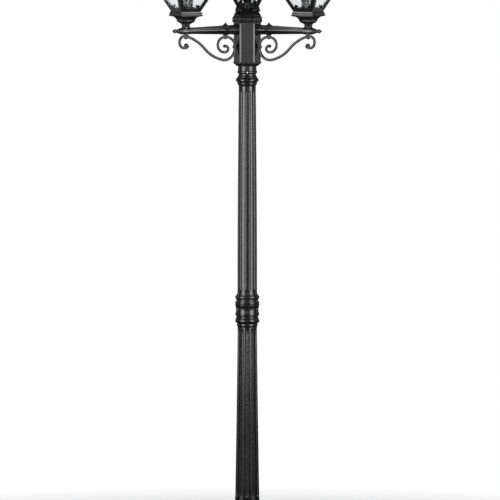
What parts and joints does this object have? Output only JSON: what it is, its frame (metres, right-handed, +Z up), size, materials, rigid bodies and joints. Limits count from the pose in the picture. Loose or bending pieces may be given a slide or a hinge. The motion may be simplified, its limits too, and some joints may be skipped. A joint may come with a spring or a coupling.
{
  "type": "lamp post",
  "caption": "Free-standing garden lamp post: fluted tapering column, hexagonal hub, and scroll-bracket arms that carry square flared lanterns with hinged roofs and seeded glass.",
  "frame": {"origin": "on the ground, at the centre of the base's circle of anchor holes", "axes": "+Z up along the post; the rear arm points along +Y, and the plain front face of the hub looks along -Y"},
  "size_m": [0.7192, 0.6272, 2.2053],
  "materials": {
    "black_casting": "satin",
    "zinc_steel": "satin",
    "bright_screws": "satin",
    "black_screws": "satin",
    "terminal_plastic": "matte",
    "cable_sheath": "matte",
    "seeded_glass": "gloss",
    "holder_black": "gloss",
    "lamp_cap": "satin",
    "lamp_glass": "gloss"
  },
  "bodies": {
    "post": {"base_casting": "black_casting", "lower_shaft": "black_casting", "coupling_sleeve": "black_casting", "upper_shaft": "black_casting", "hub_socket": "black_casting", "hub_body": "black_casting", "hub_roof": "black_casting", "hub_finial": "black_casting", "joining_tube": "zinc_steel", "arm_nuts": "zinc_steel", "hub_bridge": "zinc_steel", "lantern_stems": "zinc_steel", "hinge_pins": "zinc_steel", "coupling_screws": "bright_screws", "hub_screws": "bright_screws", "bracket_screws": "black_screws", "terminal_block": "terminal_plastic", "wiring": "cable_sheath", "arm_left": "black_casting", "arm_finial_left": "black_casting", "arm_clip_left": "black_casting", "scroll_bracket_left": "black_casting", "lantern_neck_left": "black_casting", "lantern_cup_left": "black_casting", "lantern_cage_left": "black_casting", "lantern_glass_left": "seeded_glass", "lamp_holder_left": "holder_black", "arm_right": "black_casting", "arm_finial_right": "black_casting", "arm_clip_right": "black_casting", "scroll_bracket_right": "black_casting", "lantern_neck_right": "black_casting", "lantern_cup_right": "black_casting", "lantern_cage_right": "black_casting", "lantern_glass_right": "seeded_glass", "lamp_holder_right": "holder_black", "arm_rear": "black_casting", "arm_finial_rear": "black_casting", "arm_clip_rear": "black_casting", "scroll_bracket_rear": "black_casting", "lantern_neck_rear": "black_casting", "lantern_cup_rear": "black_casting", "lantern_cage_rear": "black_casting", "lantern_glass_rear": "seeded_glass", "lamp_holder_rear": "holder_black"},
    "roof_left": {"lantern_roof_left": "black_casting", "lantern_finial_left": "black_casting"},
    "screw_left": {"roof_screw_left": "black_screws"},
    "bulb_left": {"bulb_cap_left": "lamp_cap", "bulb_glass_left": "lamp_glass"},
    "roof_right": {"lantern_roof_right": "black_casting", "lantern_finial_right": "black_casting"},
    "screw_right": {"roof_screw_right": "black_screws"},
    "bulb_right": {"bulb_cap_right": "lamp_cap", "bulb_glass_right": "lamp_glass"},
    "roof_rear": {"lantern_roof_rear": "black_casting", "lantern_finial_rear": "black_casting"},
    "screw_rear": {"roof_screw_rear": "black_screws"},
    "bulb_rear": {"bulb_cap_rear": "lamp_cap", "bulb_glass_rear": "lamp_glass"}
  },
  "joints": [
    {"name": "roof_left_hinge", "type": "hinge", "parent": "post", "child": "roof_left", "pos_m": [-0.30614, -0.17675, 2.069], "axis": [0.5, -0.866, 0], "range_deg": [0, 100]},
    {"name": "screw_left_turn", "type": "hinge", "parent": "roof_left", "child": "screw_left", "pos_m": [-0.11388, -0.06575, 2.079], "axis": [0, 0, 1], "continuous": true},
    {"name": "bulb_left_turn", "type": "hinge", "parent": "post", "child": "bulb_left", "pos_m": [-0.21261, -0.12275, 1.986], "axis": [0, 0, 1], "continuous": true},
    {"name": "roof_right_hinge", "type": "hinge", "parent": "post", "child": "roof_right", "pos_m": [0.30614, -0.17675, 2.069], "axis": [0.5, 0.866, 0], "range_deg": [0, 100]},
    {"name": "screw_right_turn", "type": "hinge", "parent": "roof_right", "child": "screw_right", "pos_m": [0.11388, -0.06575, 2.079], "axis": [0, 0, 1], "continuous": true},
    {"name": "bulb_right_turn", "type": "hinge", "parent": "post", "child": "bulb_right", "pos_m": [0.21261, -0.12275, 1.986], "axis": [0, 0, 1], "continuous": true},
    {"name": "roof_rear_hinge", "type": "hinge", "parent": "post", "child": "roof_rear", "pos_m": [0, 0.3535, 2.069], "axis": [-1, 0, 0], "range_deg": [0, 100]},
    {"name": "screw_rear_turn", "type": "hinge", "parent": "roof_rear", "child": "screw_rear", "pos_m": [0, 0.1315, 2.079], "axis": [0, 0, 1], "continuous": true},
    {"name": "bulb_rear_turn", "type": "hinge", "parent": "post", "child": "bulb_rear", "pos_m": [0, 0.2455, 1.986], "axis": [0, 0, 1], "continuous": true}
  ]
}
